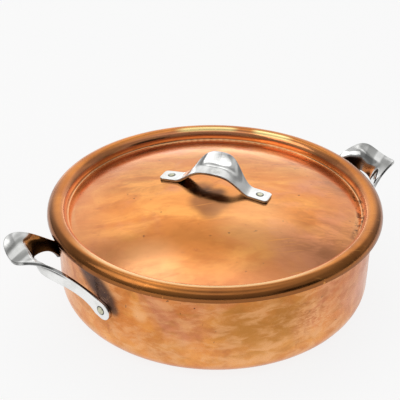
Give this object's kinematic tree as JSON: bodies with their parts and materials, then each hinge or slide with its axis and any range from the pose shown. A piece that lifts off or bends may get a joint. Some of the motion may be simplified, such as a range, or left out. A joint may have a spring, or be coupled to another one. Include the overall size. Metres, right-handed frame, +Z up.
{
  "type": "rondeau pan",
  "caption": "Wide, low copper pan with a steel lining, steel loop handles and a domed lid with a rolled rim and a steel strap handle.",
  "frame": {"origin": "middle of the underside of the pan's base", "axes": "+Z up; the loop handles lie along X; the lid's handle is turned 51.9 degrees clockwise from X, as in the picture"},
  "size_m": [0.3848, 0.3, 0.1272],
  "materials": {
    "copper": "polished copper with cloudy patina",
    "steel_lining": "satin",
    "polished_steel": "mirror polished stainless steel",
    "steel_rivet": "satin"
  },
  "bodies": {
    "pan": {"pan_copper_shell": "copper", "pan_steel_lining": "steel_lining", "left_handle": "polished_steel", "right_handle": "polished_steel", "left_handle_front_rivet": "steel_rivet", "left_handle_rear_rivet": "steel_rivet", "right_handle_front_rivet": "steel_rivet", "right_handle_rear_rivet": "steel_rivet"},
    "lid": {"lid_copper_shell": "copper", "lid_steel_lining": "steel_lining", "lid_handle": "polished_steel", "lid_handle_left_rivet": "steel_rivet", "lid_handle_right_rivet": "steel_rivet"}
  },
  "joints": [
    {"name": "lid_lift", "type": "slide", "parent": "pan", "child": "lid", "axis": [0, 0, 1], "range_m": [0, 0.15]}
  ]
}
